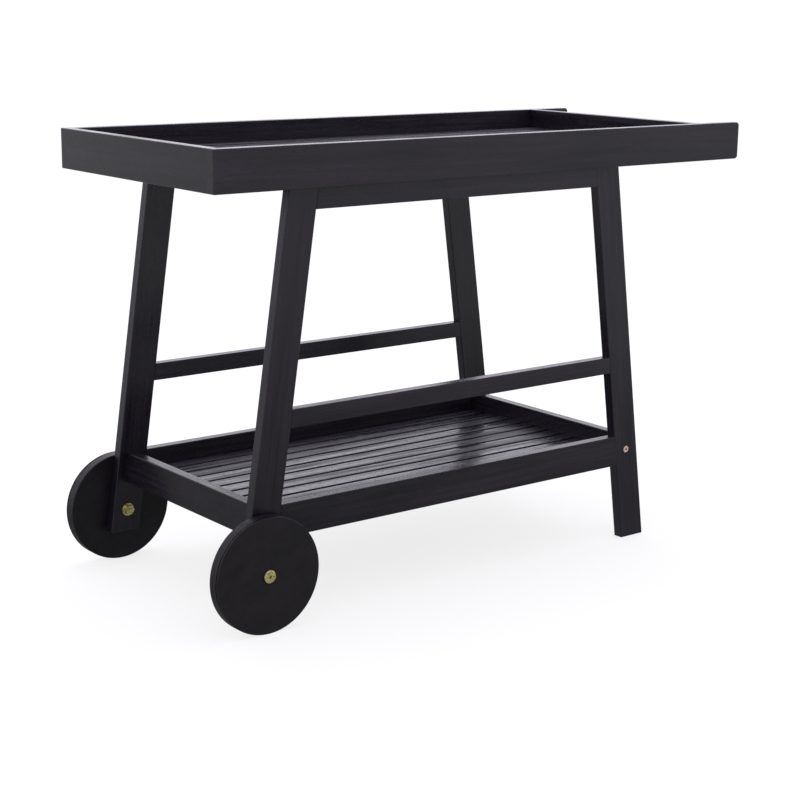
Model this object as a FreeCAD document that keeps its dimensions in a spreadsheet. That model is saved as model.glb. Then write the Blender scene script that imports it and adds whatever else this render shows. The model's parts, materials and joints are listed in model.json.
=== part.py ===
import FreeCAD, Part
from Sketcher import Constraint
import os
import re

# Bar cart on wheels: a shallow slatted tray on two splayed side frames, a lower slatted shelf, two
# free-running wooden wheels at one end, and at the other two handles: the ends of the tray's long rails.
# Frame: +X runs along the cart towards the handles, +Y across it to its back, +Z up. The origin is on
# the floor, below the middle of the cart's box. Millimetres.

DRIVING = {
    "overall_length": 1219.2,     # wheel rim to handle tips
    "overall_height": 810.3,      # floor to the top of the tray
    "tray_depth": 508.0,          # outer faces of the tray's long rails
    "board": 20.0,                # thickness of every rail, leg and panel
    "edge_round": 1.5,            # eased edges of the boards
    "slat_round": 1.0,
    "tray_height": 71.0,
    "wheel_overhang": 9.2,        # wheel rim beyond the tray's wheel end
    "handle_reach": 90.0,         # rail length past the end panel
    "handle_round": 7.0,
    "corner_round": 3.0,          # upright corners of the tray's wheel end
    "top_floor_depth": 37.0,      # tray top down to the slats
    "slat_thickness": 12.0,
    "slat_gap": 8.0,
    "slat_end_gap": 1.0,
    "top_slat_count": 12,
    "shelf_slat_count": 11,
    "batten_width": 30.0,
    "apron_bottom": 702.0,        # height above the floor
    "leg_width": 58.0,            # measured level
    "leg_splay": 0.145,           # sideways run per unit of height
    "foot_spacing": 902.0,        # between the leg centre lines, at the floor
    "wheel_leg_bottom": 60.0,     # the wheel legs stop short of the floor
    "mid_rail_top": 372.0,
    "mid_rail_height": 32.0,
    "shelf_top": 211.0,           # top of the rails round the shelf
    "shelf_height": 59.0,
    "shelf_floor_depth": 33.0,
    "wheel_radius": 101.6,
    "wheel_thickness": 24.0,
    "wheel_edge": 1.2,            # eased edges of the rim
    "wheel_line_inset": 3.0,      # square turned line round the rim, from the outer face
    "wheel_line_width": 2.2,
    "wheel_line_depth": 5.0,
    "side_play": 0.3,             # between the wheel and what it turns against
    "axle_radius": 5.0,
    "bush_bore": 5.05,            # running fit on the axle
    "bush_radius": 7.0,
    "spacer_radius": 11.0,
    "spacer_thickness": 4.2,
    "hole_clearance": 0.2,
    "axle_head_radius": 11.5,
    "axle_head_height": 4.0,
    "axle_head_round": 2.0,
    "washer_radius": 12.0,
    "washer_thickness": 2.0,
    "nut_flats": 16.0,
    "nut_height": 8.0,
    "thread_end": 2.5,            # axle past its nut
    "axle_socket": 5.0,           # across flats
    "axle_socket_depth": 6.0,
    "bolt_radius": 3.0,
    "bolt_length": 60.0,
    "bolt_head_radius": 6.8,
    "bolt_head_height": 4.0,
    "bolt_head_round": 0.8,
    "bolt_socket": 4.0,
    "bolt_socket_depth": 2.2,
    "counterbore_radius": 7.3,
    "barrel_radius": 5.0,
    "barrel_height": 14.0,
    "barrel_inset": 32.0,         # barrel nut centre from the end rail's end
    "screw_length": 28.0,         # through an apron or a tray batten
    "shelf_screw_length": 22.0,
    "screw_radius": 2.0,
    "screw_head_radius": 4.0,
    "screw_head_height": 2.4,
    "tray_screw_count": 4,
}

# Places worked out from the driving sizes.
TRAY_LEFT = "(wheel_overhang - overall_length / 2)"
TRAY_RIGHT = "(overall_length / 2)"
TRAY_BOTTOM = "(overall_height - tray_height)"
RAIL_INNER = "(tray_depth / 2 - board)"
FRAME_OUTER = RAIL_INNER
FRAME_INNER = "(tray_depth / 2 - 2 * board)"
LEFT_PANEL_INNER = f"({TRAY_LEFT} + board)"
RIGHT_PANEL_INNER = f"({TRAY_RIGHT} - handle_reach - board)"
TOP_SLAT_BASE = "(overall_height - top_floor_depth - slat_thickness)"
SHELF_BOTTOM = "(shelf_top - shelf_height)"
SHELF_SLAT_BASE = "(shelf_top - shelf_floor_depth - slat_thickness)"
AXLE_X = "(wheel_radius - overall_length / 2)"
LEFT_FOOT = f"({AXLE_X} - leg_splay * wheel_radius)"
RIGHT_FOOT = f"({LEFT_FOOT} + foot_spacing)"
BOLT_HEIGHT = "(shelf_top - shelf_height / 2)"
LEFT_END_RAIL = f"({LEFT_FOOT} + leg_splay * {BOLT_HEIGHT})"
RIGHT_END_RAIL = f"({RIGHT_FOOT} - leg_splay * {BOLT_HEIGHT})"
WHEEL_INNER = f"({FRAME_OUTER} + spacer_thickness + side_play)"
WHEEL_OUTER = f"({WHEEL_INNER} + wheel_thickness)"

doc = FreeCAD.newDocument("BarCart")
nodes = []


def make_sheet():
    sheet = doc.addObject("Spreadsheet::Sheet", "Sizes")
    for row, (name, size) in enumerate(DRIVING.items(), start=1):
        sheet.set(f"A{row}", name)
        sheet.set(f"B{row}", str(size))
        sheet.setAlias(f"B{row}", name)
    doc.recompute()


def bind(thing, prop, expression):
    """Ties a property to an expression, in which each word that is a driving size stands for its cell."""

    def cell(word):
        return f"Sizes.{word[0]}" if word[0] in DRIVING else word[0]

    thing.setExpression(prop, re.sub("[a-z_]+", cell, expression))


def place(thing, x, y, z):
    for axis, expression in zip("xyz", (x, y, z)):
        bind(thing, f".Placement.Base.{axis}", expression)


def turn(thing, axis, angle):
    thing.Placement = FreeCAD.Placement(FreeCAD.Vector(), FreeCAD.Rotation(FreeCAD.Vector(*axis), angle))


def new_body(label):
    body = doc.addObject("PartDesign::Body", label)
    body.Label = label
    return body


def origin_plane(body, role):
    return next(feature for feature in body.Origin.OriginFeatures if feature.Role == role)


def new_sketch(body, role, name):
    sketch = body.newObject("Sketcher::SketchObject", name)
    sketch.AttachmentSupport = [(origin_plane(body, role), "")]
    sketch.MapMode = "FlatFace"
    return sketch


def fix_point(sketch, curve, point, x, y):
    """Holds one point of a sketch at a place given by two expressions."""
    for kind, axis, expression in (("DistanceX", -2, x), ("DistanceY", -1, y)):
        if expression == "0":
            sketch.addConstraint(Constraint("PointOnObject", curve, point, axis))
        else:
            index = sketch.addConstraint(Constraint(kind, -1, 1, curve, point, 1.0))
            bind(sketch, f"Constraints[{index}]", expression)


def outline(sketch, corners):
    """Closed outline of straight lines through corners given as pairs of expressions."""
    count = len(corners)
    start = [FreeCAD.Vector(10 * (k in (1, 2)) + k, 10 * (k >= 2) + k, 0) for k in range(count)]
    first = sketch.GeometryCount
    for k in range(count):
        sketch.addGeometry(Part.LineSegment(start[k], start[(k + 1) % count]), False)
    for k in range(count):
        sketch.addConstraint(Constraint("Coincident", first + k, 2, first + (k + 1) % count, 1))
    for k, (x, y) in enumerate(corners):
        fix_point(sketch, first + k, 1, x, y)


def circle(sketch, x, y, radius):
    curve = sketch.addGeometry(Part.Circle(FreeCAD.Vector(5, 5, 0), FreeCAD.Vector(0, 0, 1), 2), False)
    index = sketch.addConstraint(Constraint("Radius", curve, 2.0))
    bind(sketch, f"Constraints[{index}]", radius)
    fix_point(sketch, curve, 3, x, y)


def hexagon(sketch, flats):
    """Regular hexagon about the sketch's origin, given its size across flats."""
    ring = sketch.addGeometry(Part.Circle(FreeCAD.Vector(), FreeCAD.Vector(0, 0, 1), 5), True)
    sketch.addConstraint(Constraint("Coincident", ring, 3, -1, 1))
    index = sketch.addConstraint(Constraint("Radius", ring, 5.0))
    bind(sketch, f"Constraints[{index}]", f"{flats} / 3 ^ 0.5")
    corner = FreeCAD.Vector(5, 0, 0)
    sixth = FreeCAD.Rotation(FreeCAD.Vector(0, 0, 1), 60)
    sides = []
    for k in range(6):
        following = sixth.multVec(corner)
        sides.append(sketch.addGeometry(Part.LineSegment(corner, following), False))
        corner = following
    for k, side in enumerate(sides):
        sketch.addConstraint(Constraint("Coincident", side, 2, sides[(k + 1) % 6], 1))
        sketch.addConstraint(Constraint("PointOnObject", side, 1, ring))
        if k:
            sketch.addConstraint(Constraint("Equal", sides[0], side))
    sketch.addConstraint(Constraint("PointOnObject", sides[0], 1, -1))


def pad(body, sketch, length):
    """Extrudes a sketch on the XZ plane towards +Y."""
    feature = body.newObject("PartDesign::Pad", "Pad")
    feature.Profile = sketch
    bind(feature, "Length", length)
    feature.Reversed = True
    doc.recompute()
    return feature


def pocket(body, sketch, depth=None):
    """Cuts a sketch on the XZ plane into the body, towards +Y, right through unless a depth is given."""
    before = body.Shape.Volume
    feature = body.newObject("PartDesign::Pocket", "Pocket")
    feature.Profile = sketch
    if depth:
        bind(feature, "Length", depth)
    else:
        feature.Type = 1
    doc.recompute()
    if body.Shape.Volume >= before:
        raise RuntimeError(f"{body.Label}: a pocket cuts nothing")


def revolve(body, sketch):
    feature = body.newObject("PartDesign::Revolution", "Revolution")
    feature.Profile = sketch
    feature.ReferenceAxis = (sketch, ["V_Axis"])
    feature.Angle = 360.0
    doc.recompute()
    return feature


def fillet(body, base, radius, chosen):
    names = [f"Edge{k}" for k, edge in enumerate(base.Shape.Edges, start=1) if chosen(edge)]
    feature = body.newObject("PartDesign::Fillet", "Fillet")
    feature.Base = (base, names)
    bind(feature, "Radius", radius)
    doc.recompute()
    return feature


def size_of(name):
    return float(DRIVING[name])


def along(edge, axis):
    """True for a straight edge parallel to an axis."""
    if not isinstance(edge.Curve, Part.Line):
        return False
    return abs(edge.Curve.Direction[axis]) > 0.999


def near(edge, axis, place_mm):
    box = edge.BoundBox
    low, high = ((box.XMin, box.XMax), (box.YMin, box.YMax), (box.ZMin, box.ZMax))[axis]
    return abs(low - place_mm) < 0.01 and abs(high - place_mm) < 0.01


def on_rim(edge, radius):
    """True for an edge that goes right round a turned piece at a driving radius."""
    return abs(edge.BoundBox.XMax - size_of(radius)) < 0.01


def board(label, size, at, grain, ease="edge_round"):
    """Rectangular board, with its size and low corner as expressions. Edges along its grain are eased."""
    body = new_body(label)
    sketch = new_sketch(body, "XZ_Plane", "Face")
    outline(sketch, [("0", "0"), (size[0], "0"), (size[0], size[2]), ("0", size[2])])
    blank = pad(body, sketch, size[1])
    fillet(body, blank, ease, lambda edge: along(edge, grain))
    place(body, *at)
    nodes.append(body)
    return body


def tray_rail(label, low_y, outer_face):
    """Long rail of the tray. Past the end panel it is a handle, with rounded corners.

    outer_face is the local Y of its outer face. The inner upright edge at the wheel end stays sharp,
    because the end panel closes on it.
    """
    body = new_body(label)
    length = f"({TRAY_RIGHT} - {TRAY_LEFT})"
    sketch = new_sketch(body, "XZ_Plane", "Face")
    outline(sketch, [("0", "0"), (length, "0"), (length, "tray_height"), ("0", "tray_height")])
    blank = pad(body, sketch, "board")
    tip = blank.Shape.BoundBox.XMax
    handle = fillet(body, blank, "handle_round", lambda edge: along(edge, 1) and near(edge, 0, tip))
    cornered = fillet(
        body, handle, "corner_round", lambda edge: near(edge, 0, 0) and near(edge, 1, outer_face)
    )
    fillet(body, cornered, "edge_round", lambda edge: along(edge, 0))
    place(body, TRAY_LEFT, low_y, TRAY_BOTTOM)
    nodes.append(body)


def make_tray():
    tray_rail("front_tray_rail", "-tray_depth / 2", 0)
    tray_rail("back_tray_rail", RAIL_INNER, size_of("board"))
    across = f"(2 * {RAIL_INNER})"
    for label, x in (("left_end_panel", TRAY_LEFT), ("right_end_panel", RIGHT_PANEL_INNER)):
        board(label, ("board", across, "tray_height"), (x, f"-{RAIL_INNER}", TRAY_BOTTOM), grain=1)


def make_slats(prefix, count, low_x, high_x, half_width, base):
    """Row of slats along the cart, with even gaps, between two cross pieces."""
    pitch = f"(2 * {half_width} / {count})"
    length = f"({high_x} - {low_x} - 2 * slat_end_gap)"
    for k in range(DRIVING[count]):
        y = f"({pitch} * {k} + slat_gap / 2 - {half_width})"
        board(
            f"{prefix}_{k + 1:02d}",
            (length, f"({pitch} - slat_gap)", "slat_thickness"),
            (f"{low_x} + slat_end_gap", y, base),
            grain=0,
            ease="slat_round",
        )


def make_top_floor():
    ends = (LEFT_PANEL_INNER, RIGHT_PANEL_INNER)
    make_slats("tray_slat", "top_slat_count", *ends, RAIL_INNER, TOP_SLAT_BASE)
    height = f"({TOP_SLAT_BASE} - {TRAY_BOTTOM})"
    left_leg_top = f"({LEFT_FOOT} + leg_splay * {TRAY_BOTTOM})"
    right_leg_top = f"({RIGHT_FOOT} - leg_splay * {TRAY_BOTTOM})"
    battens = (
        (LEFT_PANEL_INNER, RAIL_INNER),
        (f"{left_leg_top} - batten_width / 2", FRAME_INNER),
        (f"{right_leg_top} - batten_width / 2", FRAME_INNER),
        (f"{RIGHT_PANEL_INNER} - batten_width", RAIL_INNER),
    )
    for k, (x, reach) in enumerate(battens, start=1):
        size = ("batten_width", f"(2 * {reach})", height)
        board(f"tray_batten_{k}", size, (x, f"-{reach}", TRAY_BOTTOM), grain=1)


def make_leg(label, wheel_leg, back):
    """Splayed leg. Its outer face is its own Y = 0 face, so a back leg is turned half a turn about Z."""
    bottom = "wheel_leg_bottom" if wheel_leg else "0"
    height = f"({TOP_SLAT_BASE} - {bottom})"
    run = f"(leg_splay * {height})"
    leans_right = wheel_leg != back
    low, high = ("0", run) if leans_right else (run, "0")
    body = new_body(label)
    sketch = new_sketch(body, "XZ_Plane", "Face")
    outline(
        sketch,
        [
            (low, "0"),
            (f"{low} + leg_width", "0"),
            (f"{high} + leg_width", height),
            (high, height),
        ],
    )
    blank = pad(body, sketch, "board")
    top = blank.Shape.BoundBox.ZMax
    fillet(body, blank, "edge_round", lambda edge: not near(edge, 2, top))

    slope = "+ leg_splay" if leans_right else "- leg_splay"
    holes = [
        (BOLT_HEIGHT, "bolt_radius + hole_clearance", None),
        (BOLT_HEIGHT, "counterbore_radius", "bolt_head_height"),
    ]
    if wheel_leg:
        holes.append(("wheel_radius", "axle_radius + hole_clearance", None))
    for level, radius, depth in holes:
        rise = f"({level} - {bottom})"
        drill = new_sketch(body, "XZ_Plane", "Hole")
        circle(drill, f"{low} + leg_width / 2 {slope} * {rise}", rise, radius)
        pocket(body, drill, depth)

    foot = LEFT_FOOT if wheel_leg else RIGHT_FOOT
    lean = "+ leg_splay" if wheel_leg else "- leg_splay"
    centre = f"({foot} {lean} * {bottom})"
    side = "+" if back else "-"
    if back:
        turn(body, (0, 0, 1), 180)
    place(body, f"{centre} {side} leg_width / 2 {side} {low}", f"0 {side} {FRAME_OUTER}", bottom)
    nodes.append(body)


def cross_rail(label, low_y, bottom, height):
    """Rail between the two legs of a side frame. Its ends follow the splay of the legs."""
    span = f"(foot_spacing - leg_width - 2 * leg_splay * {bottom})"
    run = f"(leg_splay * {height})"
    body = new_body(label)
    sketch = new_sketch(body, "XZ_Plane", "Face")
    outline(sketch, [("0", "0"), (span, "0"), (f"{span} - {run}", height), (run, height)])
    blank = pad(body, sketch, "board")
    fillet(body, blank, "edge_round", lambda edge: along(edge, 0))
    place(body, f"{LEFT_FOOT} + leg_width / 2 + leg_splay * {bottom}", low_y, bottom)
    nodes.append(body)


def make_side_frames():
    for side, back, low_y in (("front", False, f"-{FRAME_OUTER}"), ("back", True, FRAME_INNER)):
        make_leg(f"{side}_wheel_leg", True, back)
        make_leg(f"{side}_foot_leg", False, back)
        cross_rail(f"{side}_apron", low_y, "apron_bottom", f"({TOP_SLAT_BASE} - apron_bottom)")
        cross_rail(f"{side}_mid_rail", low_y, "(mid_rail_top - mid_rail_height)", "mid_rail_height")
        cross_rail(f"{side}_shelf_rail", low_y, SHELF_BOTTOM, "shelf_height")


def cylinder(name, axis, radius, height, at):
    """Cylinder that starts at a place and runs along +Y or +Z."""
    solid = doc.addObject("Part::Cylinder", name)
    bind(solid, "Radius", radius)
    bind(solid, "Height", height)
    if axis == 1:
        turn(solid, (1, 0, 0), -90)
    place(solid, *at)
    return solid


def fuse(name, parts):
    joined = doc.addObject("Part::MultiFuse", name)
    joined.Shapes = parts
    return joined


def cut(label, base, tool):
    result = doc.addObject("Part::Cut", label)
    result.Label = label
    result.Base = base
    result.Tool = tool
    doc.recompute()
    return result


def shelf_end_rail(label, centre):
    """Cross rail of the shelf, drilled at both ends for its bolt and, from below, for the barrel nut."""
    body = board(
        f"{label}_blank",
        ("board", f"(2 * {FRAME_INNER})", "shelf_height"),
        (f"{centre} - board / 2", f"-{FRAME_INNER}", SHELF_BOTTOM),
        grain=1,
    )
    nodes.remove(body)
    bore = "bolt_radius + hole_clearance"
    drilled = "(bolt_length + bolt_head_height - board + hole_clearance)"
    barrel = f"({BOLT_HEIGHT} + barrel_height / 2 - {SHELF_BOTTOM})"
    tools = []
    for side, start, inset in (
        ("front", f"-{FRAME_INNER}", f"-({FRAME_INNER} - barrel_inset)"),
        ("back", f"({FRAME_INNER} - {drilled})", f"({FRAME_INNER} - barrel_inset)"),
    ):
        hole_at = (centre, start, BOLT_HEIGHT)
        tools.append(cylinder(f"{label}_{side}_bolt_hole", 1, bore, drilled, hole_at))
        nut_at = (centre, inset, SHELF_BOTTOM)
        tools.append(cylinder(f"{label}_{side}_nut_hole", 2, "barrel_radius", barrel, nut_at))
    nodes.append(cut(label, body, fuse(f"{label}_holes", tools)))


def make_shelf():
    shelf_end_rail("shelf_wheel_end_rail", LEFT_END_RAIL)
    shelf_end_rail("shelf_foot_end_rail", RIGHT_END_RAIL)
    low_x = f"({LEFT_END_RAIL} + board / 2)"
    high_x = f"({RIGHT_END_RAIL} - board / 2)"
    make_slats("shelf_slat", "shelf_slat_count", low_x, high_x, FRAME_INNER, SHELF_SLAT_BASE)
    height = f"({SHELF_SLAT_BASE} - {SHELF_BOTTOM})"
    middle = f"(({low_x} + {high_x}) / 2 - batten_width / 2)"
    for k, x in enumerate((low_x, middle, f"{high_x} - batten_width"), start=1):
        at = (x, f"-{FRAME_INNER}", SHELF_BOTTOM)
        board(f"shelf_batten_{k}", ("batten_width", f"(2 * {FRAME_INNER})", height), at, grain=1)


def ring(label, outer, inner, thickness):
    """Flat ring about Y, from Y = 0 outwards."""
    body = new_body(label)
    sketch = new_sketch(body, "XZ_Plane", "Face")
    circle(sketch, "0", "0", outer)
    circle(sketch, "0", "0", inner)
    pad(body, sketch, thickness)
    return body


def socket_bolt(label, kind, length):
    """Bolt about Y with its head's top face at Y = 0 and its shank towards +Y. kind is axle or bolt."""
    head = f"{kind}_head_radius"
    under_head = f"{kind}_head_height"
    shank = f"{kind}_radius"
    end = f"({under_head} + {length})"
    body = new_body(label)
    sketch = new_sketch(body, "XY_Plane", "HalfSection")
    outline(
        sketch,
        [
            ("0", "0"),
            (head, "0"),
            (head, under_head),
            (shank, under_head),
            (shank, end),
            ("0", end),
        ],
    )
    turned = revolve(body, sketch)
    fillet(body, turned, f"{kind}_head_round", lambda edge: on_rim(edge, head) and near(edge, 1, 0))
    recess = new_sketch(body, "XZ_Plane", "Socket")
    hexagon(recess, f"{kind}_socket")
    pocket(body, recess, f"{kind}_socket_depth")
    return body


def hex_nut(label):
    body = new_body(label)
    sketch = new_sketch(body, "XZ_Plane", "Face")
    hexagon(sketch, "nut_flats")
    circle(sketch, "0", "0", "axle_radius")
    pad(body, sketch, "nut_height")
    return body


def both_sides(label, make, distance):
    """Group of two alike pieces, one on each side of the cart, whose Y = 0 faces look outwards."""
    pair = []
    for side, sign in (("front", "-"), ("back", "+")):
        piece = make(f"{label}_{side}")
        if side == "back":
            turn(piece, (0, 0, 1), 180)
        place(piece, AXLE_X, f"0 {sign} {distance}", "wheel_radius")
        pair.append(piece)
    group(label, pair)


def group(label, pieces):
    together = doc.addObject("Part::Compound", label)
    together.Label = label
    together.Links = pieces
    nodes.append(together)


def make_wheel(label):
    """Plain wooden disc with its outer face at Y = 0, eased edges and one fine turned line round the rim."""
    body = new_body(label)
    sketch = new_sketch(body, "XY_Plane", "HalfSection")
    outline(
        sketch,
        [
            ("bush_radius", "0"),
            ("wheel_radius", "0"),
            ("wheel_radius", "wheel_line_inset"),
            ("wheel_radius - wheel_line_depth", "wheel_line_inset"),
            ("wheel_radius - wheel_line_depth", "wheel_line_inset + wheel_line_width"),
            ("wheel_radius", "wheel_line_inset + wheel_line_width"),
            ("wheel_radius", "wheel_thickness"),
            ("bush_radius", "wheel_thickness"),
        ],
    )
    disc = revolve(body, sketch)
    faces = (0, size_of("wheel_thickness"))
    fillet(
        body,
        disc,
        "wheel_edge",
        lambda edge: on_rim(edge, "wheel_radius") and any(near(edge, 1, face) for face in faces),
    )
    return body


def make_wheels():
    """A wheel and its pressed-in bush turn together. The axle, spacer, washer and nut stay with the leg."""
    for side, sign in (("front", "-"), ("back", "+")):
        parts = (
            make_wheel(f"{side}_wheel"),
            ring(f"{side}_wheel_bush", "bush_radius", "bush_bore", "wheel_thickness"),
        )
        for piece in parts:
            if side == "back":
                turn(piece, (0, 0, 1), 180)
            place(piece, AXLE_X, f"0 {sign} {WHEEL_OUTER}", "wheel_radius")
            nodes.append(piece)

    head = f"({WHEEL_OUTER} + side_play + axle_head_height)"
    past_leg = "washer_thickness + nut_height + thread_end"
    length = f"({WHEEL_OUTER} + side_play - {FRAME_INNER} + {past_leg})"
    both_sides("axle_bolts", lambda label: socket_bolt(label, "axle", length), head)
    bore = "axle_radius + hole_clearance"
    both_sides(
        "axle_spacers",
        lambda label: ring(label, "spacer_radius", bore, "spacer_thickness"),
        f"({FRAME_OUTER} + spacer_thickness)",
    )
    both_sides(
        "axle_washers",
        lambda label: ring(label, "washer_radius", bore, "washer_thickness"),
        FRAME_INNER,
    )
    both_sides("axle_nuts", hex_nut, f"({FRAME_INNER} - washer_thickness)")


def barrel_nut(label, x, y):
    """Upright post of the nut, with a cross hole of the bolt's radius right through it."""
    base = f"({BOLT_HEIGHT} - barrel_height / 2)"
    post = cylinder(f"{label}_post", 2, "barrel_radius", "barrel_height", (x, y, base))
    hole_at = (x, f"{y} - 2 * barrel_radius", BOLT_HEIGHT)
    hole = cylinder(f"{label}_hole", 1, "bolt_radius", "(4 * barrel_radius)", hole_at)
    return cut(label, post, hole)


def make_frame_bolts():
    """One bolt through each leg into the end rail of the shelf, drawn up by a barrel nut."""
    bolts = []
    barrels = []
    for end, x in (("wheel", LEFT_END_RAIL), ("foot", RIGHT_END_RAIL)):
        for side, sign in (("front", "-"), ("back", "+")):
            bolt = socket_bolt(f"{side}_{end}_bolt", "bolt", "bolt_length")
            if side == "back":
                turn(bolt, (0, 0, 1), 180)
            place(bolt, x, f"0 {sign} {FRAME_OUTER}", BOLT_HEIGHT)
            bolts.append(bolt)
            y = f"(0 {sign} ({FRAME_INNER} - barrel_inset))"
            barrels.append(barrel_nut(f"{side}_{end}_barrel", x, y))
    group("frame_bolts", bolts)
    group("barrel_nuts", barrels)


def screw_row(label, length, axis_role, span, count):
    """Row of countersunk screws, heads down at Z = 0, spaced along one axis of the body."""
    body = new_body(label)
    sketch = new_sketch(body, "XZ_Plane", "HalfSection")
    tip = f"({length} - 2 * screw_radius)"
    corners = [
        ("0", "0"),
        ("screw_head_radius", "0"),
        ("screw_radius", "screw_head_height"),
        ("screw_radius", tip),
        ("0", length),
    ]
    outline(sketch, corners)
    screw = revolve(body, sketch)
    row = body.newObject("PartDesign::LinearPattern", "Row")
    row.Originals = [screw]
    row.Direction = (origin_plane(body, axis_role), [""])
    bind(row, "Length", span)
    row.Occurrences = DRIVING[count]
    body.Tip = row
    doc.recompute()
    return body


def make_screws():
    """Screws up through the end battens into the slats, and out through the aprons into the tray rails."""
    rows = []
    floors = (
        (
            "tray",
            "screw_length",
            "top_slat_count",
            RAIL_INNER,
            TRAY_BOTTOM,
            LEFT_PANEL_INNER,
            RIGHT_PANEL_INNER,
        ),
        (
            "shelf",
            "shelf_screw_length",
            "shelf_slat_count",
            FRAME_INNER,
            SHELF_BOTTOM,
            f"({LEFT_END_RAIL} + board / 2)",
            f"({RIGHT_END_RAIL} - board / 2)",
        ),
    )
    for name, length, count, half_width, bottom, low_x, high_x in floors:
        pitch = f"(2 * {half_width} / {count})"
        span = f"({pitch} * ({count} - 1))"
        ends = (("wheel", f"{low_x} + batten_width / 2"), ("foot", f"{high_x} - batten_width / 2"))
        for end, x in ends:
            row = screw_row(f"{name}_{end}_screws", length, "Y_Axis", span, count)
            place(row, x, f"{pitch} / 2 - {half_width}", bottom)
            rows.append(row)
    group("slat_screws", rows)

    rows = []
    level = f"(({TRAY_BOTTOM} + {TOP_SLAT_BASE}) / 2)"
    first = f"({LEFT_FOOT} + leg_splay * {TOP_SLAT_BASE} + leg_width)"
    last = f"({RIGHT_FOOT} - leg_splay * {TOP_SLAT_BASE} - leg_width)"
    span = f"({last} - {first})"
    for side, sign, angle in (("front", "-", 90), ("back", "+", -90)):
        row = screw_row(f"tray_{side}_screws", "screw_length", "X_Axis", span, "tray_screw_count")
        turn(row, (1, 0, 0), angle)
        place(row, first, f"0 {sign} {FRAME_INNER}", level)
        rows.append(row)
    group("tray_screws", rows)


def check_and_write():
    doc.recompute()
    for thing in doc.Objects:
        if "Invalid" in thing.State or "Error" in thing.State:
            raise RuntimeError(f"{thing.Label} did not build: {thing.State}")
    os.makedirs("parts", exist_ok=True)
    for node in nodes:
        if node.Shape.isNull() or not node.Shape.isValid():
            raise RuntimeError(f"{node.Label} has no valid shape")
        node.Shape.exportStep(f"parts/{node.Label}.step")
    print(f"{len(nodes)} nodes")


make_sheet()
make_tray()
make_top_floor()
make_side_frames()
make_shelf()
make_wheels()
make_frame_bolts()
make_screws()
check_and_write()
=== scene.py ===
import bpy
import json
import math
from functools import reduce
from typing import NamedTuple
from mathutils import Matrix, Vector


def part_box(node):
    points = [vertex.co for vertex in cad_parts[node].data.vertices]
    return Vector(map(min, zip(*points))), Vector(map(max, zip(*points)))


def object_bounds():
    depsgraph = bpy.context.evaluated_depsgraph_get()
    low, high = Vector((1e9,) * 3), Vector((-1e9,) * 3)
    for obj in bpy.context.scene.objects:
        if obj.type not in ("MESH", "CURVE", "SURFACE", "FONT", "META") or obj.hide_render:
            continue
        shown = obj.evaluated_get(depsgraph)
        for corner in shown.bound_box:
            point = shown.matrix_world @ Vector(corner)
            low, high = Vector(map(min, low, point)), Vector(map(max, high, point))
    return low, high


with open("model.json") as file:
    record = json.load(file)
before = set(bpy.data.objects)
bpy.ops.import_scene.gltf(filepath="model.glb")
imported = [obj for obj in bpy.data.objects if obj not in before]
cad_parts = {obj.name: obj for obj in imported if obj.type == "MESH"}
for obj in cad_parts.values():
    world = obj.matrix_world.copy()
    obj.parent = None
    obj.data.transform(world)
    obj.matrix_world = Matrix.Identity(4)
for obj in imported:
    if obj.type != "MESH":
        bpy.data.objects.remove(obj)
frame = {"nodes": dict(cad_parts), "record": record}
CAD_BOX = [list(corner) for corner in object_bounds()]
NODES = frame["nodes"]
LOW, HIGH = (Vector(corner) for corner in CAD_BOX)

# How far the legs lean along the cart for each metre of height.
LEG_SLOPE = 0.145
LEG_LEAN = math.degrees(math.atan(LEG_SLOPE))

# Direction of the grain in each kind of wooden piece, as an XYZ rotation in degrees that carries it to +X.
# The wheels are boards whose grain is turned a little off the cart's length.
GRAIN_TURNS = {
    "long": (0, 0, 0),
    "cross": (0, 0, -90),
    "leg_to_handles": (0, 90 - LEG_LEAN, 0),
    "leg_to_wheels": (0, 90 + LEG_LEAN, 0),
    "wheel": (0, 24, 0),
}
CROSS_PIECES = ("left_end_panel", "right_end_panel", "shelf_wheel_end_rail", "shelf_foot_end_rail")


def shades(red, green, blue):
    return (red, green, blue, 1.0)


class Pattern(NamedTuple):
    """Noise, with the number of its cells in a metre along X, Y and Z."""

    cells: tuple
    detail: float = 3.0
    roughness: float = 0.55
    distortion: float = 0.0


# In wood, X runs along the grain.
FIGURE = Pattern((1.6, 22.0, 22.0), detail=4.0, distortion=0.35)
STREAKS = Pattern((4.0, 130.0, 130.0), detail=4.0, roughness=0.62)
FIBRES = Pattern((16.0, 620.0, 620.0))
PORES = Pattern((70.0, 1500.0, 1500.0), detail=1.0)
BLOTCHES = Pattern((5.0, 9.0, 9.0), detail=5.0, roughness=0.6)
SMEARS = Pattern((11.0, 34.0, 34.0), roughness=0.7)
STAIN_CLOUDS = Pattern((26.0, 34.0, 34.0), detail=5.0, roughness=0.62, distortion=0.4)
SHEEN_PATCHES = Pattern((2.2, 75.0, 75.0), detail=3.5, roughness=0.58)
PLATING_CLOUDS = Pattern((300.0, 300.0, 300.0), detail=4.0)
SCRATCHES = Pattern((300.0, 300.0, 2600.0), detail=2.0)
MOULD_TEXTURE = Pattern((1500.0, 1500.0, 1500.0), detail=2.0)
MOULD_RUBBING = Pattern((120.0, 120.0, 120.0))

# Nearly all of a pattern's values lie between these two.
SPREAD = (0.3, 0.7)

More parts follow.
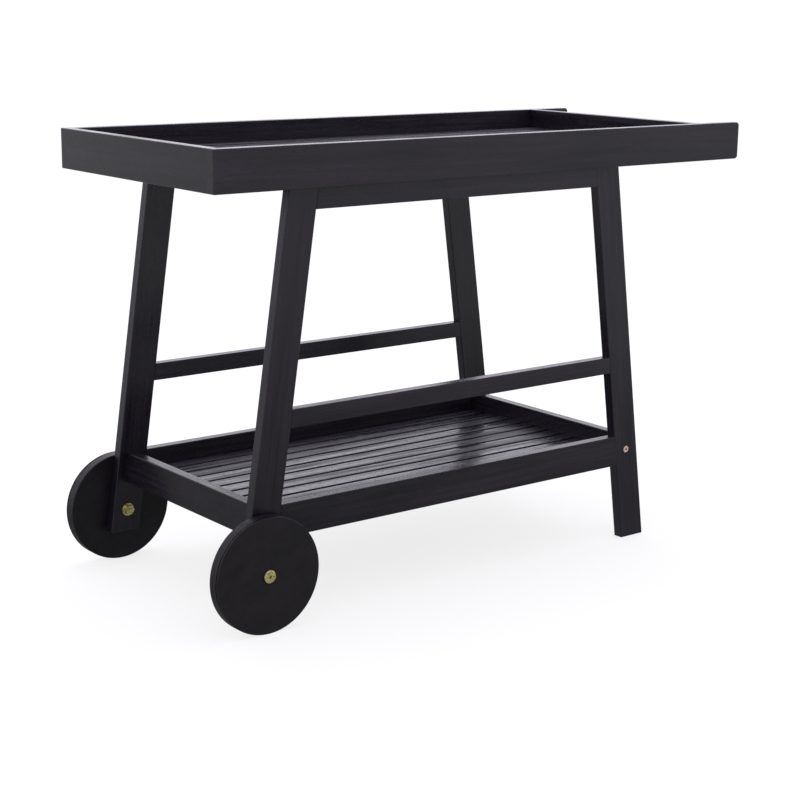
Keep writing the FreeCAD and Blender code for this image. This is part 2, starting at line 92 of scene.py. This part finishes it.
# Ranges of a value, in some cases followed by what its two ends turn into.
PORE_RANGE = (0.60, 0.70)
TONE_RANGE = (0.36, 0.66)
STAIN_CLOUD_RANGE = (0.40, 0.66)
EDGE_RANGE = (0.985, 0.80)
# Patchiness of the eased edges' colour: wear, and on the slats painted shade at the gaps.
EDGE_WEAR_AND_GAP_SHADE_PATCHES = (0.42, 0.68, 0.1, 1.0)
END_GRAIN_RANGE = (0.80, 0.97)
PIECE_BRIGHTNESS = (0.0, 1.0, 0.82, 1.18)
BLOTCH_BRIGHTNESS = (*SPREAD, 0.72, 1.28)
STREAK_ROUGHNESS = (*SPREAD, -0.07, 0.09)
SMEAR_ROUGHNESS = (*SPREAD, -0.06, 0.08)
SHEEN_ROUGHNESS = (0.36, 0.66, -0.10, 0.34)
STAINED_PLATING = (0.44, 0.62)
SCRATCH_ROUGHNESS = (*SPREAD, -0.08, 0.12)
MOULD_TONE = (0.4, 0.7)
MOULD_ROUGHNESS = (*SPREAD, 0.62, 0.42)

# How strongly pores, end grain and eased edges colour the wood, and what the last two add to its roughness; the
# edges are lighter with wear, and on the slats near-black as painted shade at the gaps.
PORE_SHARE, END_GRAIN_SHARE, EDGE_WEAR_AND_GAP_SHADE_SHARE = 0.75, 0.16, 0.55
END_GRAIN_ROUGHNESS, WEAR_ROUGHNESS = 0.06, -0.08

# Parts that patterns play in the tone and in the height of the wood.
TONE_FIGURE, TONE_STREAKS = 0.5, 0.5
HEIGHT_STREAKS, HEIGHT_FIBRES, HEIGHT_PORES, HEIGHT_FIGURE = 0.9, 0.35, -0.5, 0.6

# How far a piece's own random number moves its patterns, in metres.
PATTERN_SHIFT = (3.7, 9.1, 5.3)

# The pores' black also serves as painted shade on the slats' eased edges, at the gaps between them.
PORE_AND_GAP_SHADE_BLACK = shades(0.002, 0.002, 0.002)
END_GRAIN_BLACK = shades(0.004, 0.0035, 0.004)
CLOUDED_STAIN = shades(0.013, 0.011, 0.014)
WORN_EDGE = shades(0.040, 0.036, 0.040)
# Painted shade for the recess round a sunk bolt.
RECESS_SHADE = shades(0.020, 0.008, 0.006)
MOULD_DARK, MOULD_LIGHT = shades(0.010, 0.010, 0.011), shades(0.026, 0.026, 0.027)
WHITE = shades(1.0, 1.0, 1.0)

# How far below a sunk bolt's face the painted shade of its recess begins and is complete, in metres.
RECESS_SHADE_BEGINS, RECESS_SHADE_COMPLETE = 0.0002, 0.0006


class Wood(NamedTuple):
    """One kind of stained wood.

    roughness is the middle of its range, index the finish's index of refraction, rubbed, from 0 to 1, how patchy
    use has made the sheen, edge_tone the colour of its eased edges (lighter with wear, and on the slats
    near-black, painted shade at the gaps between them), and mottle how cloudy its colour is.
    """

    dark: tuple
    light: tuple
    roughness: float
    index: float
    rubbed: float = 0.0
    edge_tone: tuple = WORN_EDGE
    mottle: float = 0.0
    round_piece: bool = False


FRAME_WOOD = Wood(
    dark=shades(0.0055, 0.0042, 0.0075),
    light=shades(0.0165, 0.0135, 0.0215),
    roughness=0.22,
    index=1.33,
)
WHEEL_WOOD = Wood(
    dark=shades(0.0058, 0.0047, 0.0060),
    light=shades(0.0115, 0.0094, 0.0120),
    roughness=0.40,
    index=1.28,
    mottle=0.6,
    round_piece=True,
)
SLAT_WOOD = Wood(
    dark=shades(0.0085, 0.0070, 0.0120),
    light=shades(0.0300, 0.0260, 0.0400),
    roughness=0.16,
    index=1.47,
    rubbed=1.0,
    # The slats' eased edges are painted near-black: painted shade for the gaps between them.
    edge_tone=PORE_AND_GAP_SHADE_BLACK,
)

# The floor reaches this far each way, in metres. Seen directly, it is a mix of pale paint and glow.
FLOOR_REACH = 40.0
FLOOR_PAINT, FLOOR_GLOW, GLOW_SHARE = shades(0.86, 0.86, 0.86), 1.07, 0.72

# Light sent up by the floor, by distance from the middle of the cart in metres, and toward the wheel end.
FLOOR_LIGHT = (0.6, 3.2, 0.46, 1.0)
WHEEL_END = (-0.75, 0.66, 0.0)
WHEEL_END_LIGHT = (0.20, 0.80, 1.0, 0.74)

# Light from the surroundings, with what is added from behind the cart on the side of its handles.
LAVENDER = shades(0.980, 0.960, 1.060)
SURROUNDINGS_LIGHT, BACKDROP_LIGHT = 1.05, 1.05
BEHIND = (0.62, 0.78, 0.10)
LIGHT_FROM_BEHIND = (0.35, 0.95, 0.0, 0.50)

# Name, place, width in metres and power in watts.
LAMPS = (
    ("key_light", (-3.4, 0.2, 1.5), 1.8, 8.0),
    ("top_light", (0.3, 0.6, 3.4), 2.4, 30.0),
)

# Place in metres, angles in radians, and millimetres for the lens and the sensor.
CAMERA_PLACE = (-2.0169, -2.5294, 1.0422)
CAMERA_YAW, CAMERA_PITCH, CAMERA_ROLL = 0.66592, -0.23038, 0.01173
CAMERA_LENS, CAMERA_SENSOR = 77.36, 36.0


class Graph:
    """Node tree of a material or world. An input's value may be a number, a colour or another node's output."""

    def __init__(self, owner):
        self.owner = owner
        owner.use_nodes = True
        self.tree = owner.node_tree
        self.tree.nodes.clear()

    def fill(self, node, inputs):
        for name, value in inputs.items():
            if isinstance(value, bpy.types.NodeSocket):
                self.tree.links.new(value, node.inputs[name])
            else:
                node.inputs[name].default_value = value
        return node

    def add(self, kind, inputs, **settings):
        node = self.tree.nodes.new("ShaderNode" + kind)
        for name, value in settings.items():
            setattr(node, name, value)
        return self.fill(node, inputs)

    def math(self, operation, *values):
        return self.add("Math", dict(enumerate(values)), operation=operation).outputs[0]

    def sum(self, *values):
        return reduce(lambda first, second: self.math("ADD", first, second), values)

    def scaled(self, value, factor):
        return self.math("MULTIPLY", value, factor)

    def vector(self, operation, *values):
        return self.add("VectorMath", dict(enumerate(values)), operation=operation)

    def toward(self, ray, direction):
        return self.vector("DOT_PRODUCT", ray, direction).outputs["Value"]

    def between(self, value, low, high, new_low=0.0, new_high=1.0, smooth=False):
        inputs = {"Value": value, "From Min": low, "From Max": high, "To Min": new_low, "To Max": new_high}
        style = "SMOOTHSTEP" if smooth else "LINEAR"
        return self.add("MapRange", inputs, interpolation_type=style).outputs[0]

    def mix(self, factor, first, second, blend="MIX"):
        """Mix of two colours, whose sockets share their names with other kinds of mix and so go by number."""
        node = self.add("Mix", {}, data_type="RGBA", blend_type=blend)
        return self.fill(node, {0: factor, 6: first, 7: second}).outputs[2]

    def choose(self, factor, first, second):
        """Mix of two shaders."""
        return self.add("MixShader", {0: factor, 1: first.outputs[0], 2: second.outputs[0]})

    def noise(self, place, pattern):
        inputs = {
            "Vector": self.vector("MULTIPLY", place, pattern.cells).outputs[0],
            "Scale": 1.0,
            "Detail": pattern.detail,
            "Roughness": pattern.roughness,
            "Distortion": pattern.distortion,
        }
        return self.add("TexNoise", inputs).outputs[0]

    def bump(self, height, strength, distance):
        return self.add("Bump", {"Height": height, "Strength": strength, "Distance": distance}).outputs[0]

    def seen_directly(self):
        return self.add("LightPath", {}).outputs["Is Camera Ray"]

    def finish(self, shader, kind="OutputMaterial"):
        self.add(kind, {"Surface": shader.outputs[0]})
        return self.owner


def new_material(name):
    return Graph(bpy.data.materials.new(name))


def grain_space(g, grain):
    """Place with the grain along X, size of the surface direction's parts there, and the piece's random number."""
    coordinates = g.add("TexCoord", {}).outputs
    own = g.add("ObjectInfo", {}).outputs["Random"]
    turn = [math.radians(angle) for angle in GRAIN_TURNS[grain]]
    shift = g.vector("MULTIPLY", g.add("CombineXYZ", {0: own, 1: own, 2: own}).outputs[0], PATTERN_SHIFT)
    turned = g.add("Mapping", {"Vector": coordinates["Object"], "Rotation": turn}).outputs[0]
    place = g.vector("ADD", turned, shift.outputs[0]).outputs[0]
    facing = g.add("Mapping", {"Vector": coordinates["Normal"], "Rotation": turn}, vector_type="NORMAL")
    parts = g.add("SeparateXYZ", {0: g.vector("ABSOLUTE", facing.outputs[0]).outputs[0]}).outputs
    return place, parts, own


def eased_edges(g, parts, round_piece):
    """1 on eased edges and 0 on flat faces, or on the face and the rim of a round piece, whose axis is Y."""
    if round_piece:
        squares = (g.math("POWER", parts[0], 2.0), g.math("POWER", parts[2], 2.0))
        flattest = g.math("MAXIMUM", g.math("SQRT", g.sum(*squares)), parts[1])
    else:
        flattest = g.math("MAXIMUM", g.math("MAXIMUM", parts[0], parts[1]), parts[2])
    return g.between(flattest, *EDGE_RANGE, smooth=True)


def stained_wood(name, grain, wood):
    """Black stained open-grained wood: streaks, pores, blotches, eased edges (lighter with wear, and on the slats
    painted near-black as shade at the gaps) and dull end grain.
    """
    g = new_material(name)
    place, parts, own = grain_space(g, grain)
    figure = g.noise(place, FIGURE)
    streaks = g.noise(place, STREAKS)
    pores = g.between(g.noise(place, PORES), *PORE_RANGE, smooth=True)
    smears = g.noise(place, SMEARS)
    end_grain = g.between(parts[0], *END_GRAIN_RANGE, smooth=True)
    edge_wear_and_gap_shade = g.math("MULTIPLY", eased_edges(g, parts, wood.round_piece), g.between(smears, *EDGE_WEAR_AND_GAP_SHADE_PATCHES))

    tone = g.sum(g.scaled(figure, TONE_FIGURE), g.scaled(streaks, TONE_STREAKS))
    colour = g.mix(g.between(tone, *TONE_RANGE), wood.dark, wood.light)
    blotches = g.between(g.noise(place, BLOTCHES), *BLOTCH_BRIGHTNESS)
    brightness = g.math("MULTIPLY", blotches, g.between(own, *PIECE_BRIGHTNESS))
    grey = g.add("CombineColor", {0: brightness, 1: brightness, 2: brightness}).outputs[0]
    colour = g.mix(1.0, colour, grey, "MULTIPLY")
    colour = g.mix(g.scaled(pores, PORE_SHARE), colour, PORE_AND_GAP_SHADE_BLACK)
    colour = g.mix(g.scaled(end_grain, END_GRAIN_SHARE), colour, END_GRAIN_BLACK)
    # Eased edges: lighter with wear, and on the slats near-black as painted shade at the gaps.
    colour = g.mix(g.scaled(edge_wear_and_gap_shade, EDGE_WEAR_AND_GAP_SHADE_SHARE), colour, wood.edge_tone)
    if wood.mottle:
        clouds = g.between(g.noise(place, STAIN_CLOUDS), *STAIN_CLOUD_RANGE, 0.0, wood.mottle)
        colour = g.mix(clouds, colour, CLOUDED_STAIN)

    rough = g.sum(
        wood.roughness,
        g.between(streaks, *STREAK_ROUGHNESS),
        g.between(smears, *SMEAR_ROUGHNESS),
        g.scaled(g.between(g.noise(place, SHEEN_PATCHES), *SHEEN_ROUGHNESS), wood.rubbed),
        g.scaled(end_grain, END_GRAIN_ROUGHNESS),
        g.scaled(edge_wear_and_gap_shade, WEAR_ROUGHNESS),
    )
    height = g.sum(
        g.scaled(streaks, HEIGHT_STREAKS),
        g.scaled(g.noise(place, FIBRES), HEIGHT_FIBRES),
        g.scaled(pores, HEIGHT_PORES),
        g.scaled(figure, HEIGHT_FIGURE),
    )
    bump = g.bump(height, strength=0.22, distance=0.0008)
    inputs = {"Base Color": colour, "Roughness": rough, "IOR": wood.index, "Normal": bump}
    return g.finish(g.add("BsdfPrincipled", inputs))


def plated_metal(name, colour, stain, roughness, face=None):
    """Zinc-plated hardware: slightly uneven colour, fine scratches and dull patches.

    face is how far a sunk bolt's face lies from the middle of the cart. Anything deeper is painted dark, as
    painted shade in its recess.
    """
    g = new_material(name)
    place = g.add("TexCoord", {}).outputs["Object"]
    cloudy = g.noise(place, PLATING_CLOUDS)
    scratches = g.noise(place, SCRATCHES)
    tone = g.mix(g.between(cloudy, *STAINED_PLATING), colour, stain)
    rough = g.sum(roughness, g.between(scratches, *SCRATCH_ROUGHNESS))
    if face is not None:
        across = g.math("ABSOLUTE", g.add("SeparateXYZ", {0: place}).outputs["Y"])
        # Painted shade: darker wherever the bolt lies deeper than its face, in its recess.
        tone = g.mix(g.between(across, face - RECESS_SHADE_BEGINS, face - RECESS_SHADE_COMPLETE), tone, RECESS_SHADE)
    bump = g.bump(g.sum(cloudy, scratches), strength=0.25, distance=0.0002)
    inputs = {"Base Color": tone, "Roughness": rough, "Metallic": 1.0, "Normal": bump}
    return g.finish(g.add("BsdfPrincipled", inputs))


def moulded_plastic(name):
    """Black moulded bush or spacer: a fine matt texture with rubbed patches."""
    g = new_material(name)
    place = g.add("TexCoord", {}).outputs["Object"]
    rubbed = g.noise(place, MOULD_RUBBING)
    inputs = {
        "Base Color": g.mix(g.between(rubbed, *MOULD_TONE), MOULD_DARK, MOULD_LIGHT),
        "Roughness": g.between(rubbed, *MOULD_ROUGHNESS),
        "Normal": g.bump(g.noise(place, MOULD_TEXTURE), strength=0.3, distance=0.0002),
    }
    return g.finish(g.add("BsdfPrincipled", inputs))


def grain_of(node):
    if node.endswith("_wheel"):
        return "wheel"
    if node.endswith("_wheel_leg"):
        return "leg_to_handles"
    if node.endswith("_foot_leg"):
        return "leg_to_wheels"
    if "_slat_" in node:
        return "slat"
    if "batten" in node or node in CROSS_PIECES:
        return "cross"
    return "long"


def paint():
    """Gives every piece its material."""
    wood = {
        grain: stained_wood(f"black_wood_{grain}", grain, FRAME_WOOD) for grain in GRAIN_TURNS if grain != "wheel"
    }
    wood["wheel"] = stained_wood("black_wood_wheel_face", "wheel", WHEEL_WOOD)
    wood["slat"] = stained_wood("black_wood_slat", "long", SLAT_WOOD)
    brass = plated_metal(
        "yellow_plated_steel", colour=shades(0.62, 0.57, 0.26), stain=shades(0.24, 0.21, 0.10), roughness=0.34
    )
    bolt_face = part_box("frame_bolts")[1][1]
    copper = plated_metal(
        "copper_plated_steel",
        colour=shades(0.78, 0.60, 0.48),
        stain=shades(0.55, 0.38, 0.28),
        roughness=0.42,
        face=bolt_face,
    )
    dark_steel = plated_metal(
        "dark_plated_steel", colour=shades(0.20, 0.20, 0.21), stain=shades(0.11, 0.11, 0.12), roughness=0.40
    )
    plastic = moulded_plastic("black_moulded_plastic")
    by_slot = {
        "axle_metal": brass,
        "frame_bolt_metal": copper,
        "screw_metal": dark_steel,
        "bush_plastic": plastic,
        "spacer_plastic": plastic,
    }
    for entry in frame["record"]["subparts"]:
        node = entry["node"]
        material = by_slot.get(entry["material_slot"]) or wood[grain_of(node)]
        slots = NODES[node].data.materials
        slots.clear()
        slots.append(material)


def floor_material():
    """Pale and faintly shadowed. The light it sends up fades close to the object, and it is clear from below."""
    g = new_material("pale_floor")
    matt = g.add("BsdfDiffuse", {"Color": FLOOR_PAINT})
    glow = g.add("Emission", {"Color": WHITE, "Strength": FLOOR_GLOW})
    geometry = g.add("NewGeometry", {}).outputs
    distance = g.vector("LENGTH", geometry["Position"]).outputs["Value"]
    bearing = g.vector("NORMALIZE", geometry["Position"]).outputs[0]
    bounce = g.math(
        "MULTIPLY",
        g.between(distance, *FLOOR_LIGHT, smooth=True),
        g.between(g.toward(bearing, WHEEL_END), *WHEEL_END_LIGHT, smooth=True),
    )
    reflected = g.add("Emission", {"Color": WHITE, "Strength": bounce})
    from_above = g.choose(g.seen_directly(), reflected, g.choose(GLOW_SHARE, matt, glow))
    return g.finish(g.choose(geometry["Backfacing"], from_above, g.add("BsdfTransparent", {})))


def make_floor():
    mesh = bpy.data.meshes.new("studio_floor")
    reach = FLOOR_REACH
    corners = [(-reach, -reach, 0), (reach, -reach, 0), (reach, reach, 0), (-reach, reach, 0)]
    mesh.from_pydata(corners, [], [(0, 1, 2, 3)])
    floor = bpy.data.objects.new("studio_floor", mesh)
    bpy.context.scene.collection.objects.link(floor)
    floor.data.materials.append(floor_material())


def make_surroundings():
    """White backdrop. The light it gives is faintly lavender, and brightest from behind, on the handles' side."""
    g = Graph(bpy.data.worlds.new("studio"))
    ray = g.add("TexCoord", {}).outputs["Generated"]
    from_behind = g.between(g.toward(ray, BEHIND), *LIGHT_FROM_BEHIND, smooth=True)
    strength = g.sum(SURROUNDINGS_LIGHT, from_behind)
    lighting = g.add("Background", {"Color": LAVENDER, "Strength": strength})
    backdrop = g.add("Background", {"Color": WHITE, "Strength": BACKDROP_LIGHT})
    bpy.context.scene.world = g.finish(g.choose(g.seen_directly(), lighting, backdrop), "OutputWorld")


def make_light():
    centre = (LOW + HIGH) / 2
    for name, place, width, power in LAMPS:
        light = bpy.data.lights.new(name, "AREA")
        light.shape = "DISK"
        light.size = width
        light.energy = power
        lamp = bpy.data.objects.new(name, light)
        lamp.location = place
        lamp.rotation_mode = "QUATERNION"
        lamp.rotation_quaternion = (Vector(place) - centre).to_track_quat("Z", "Y")
        bpy.context.scene.collection.objects.link(lamp)


def make_camera():
    """Camera above the tray, off the front corner at the wheel end, with a long lens."""
    data = bpy.data.cameras.new("camera")
    data.sensor_width = CAMERA_SENSOR
    data.lens = CAMERA_LENS
    camera = bpy.data.objects.new("camera", data)
    level = Vector((math.sin(CAMERA_YAW), math.cos(CAMERA_YAW), 0)) * math.cos(CAMERA_PITCH)
    ahead = level + Vector((0, 0, math.sin(CAMERA_PITCH)))
    right = ahead.cross(Vector((0, 0, 1))).normalized()
    up = right.cross(ahead)
    tilted = right * math.cos(CAMERA_ROLL) + up * math.sin(CAMERA_ROLL)
    turn = Matrix((tilted, tilted.cross(ahead), -ahead)).transposed().to_4x4()
    camera.matrix_world = Matrix.Translation(CAMERA_PLACE) @ turn
    bpy.context.scene.collection.objects.link(camera)
    bpy.context.scene.camera = camera


def use_plain_colours():
    bpy.context.scene.view_settings.view_transform = "Standard"


paint()
make_floor()
make_surroundings()
make_light()
make_camera()
use_plain_colours()
bpy.context.view_layer.update()
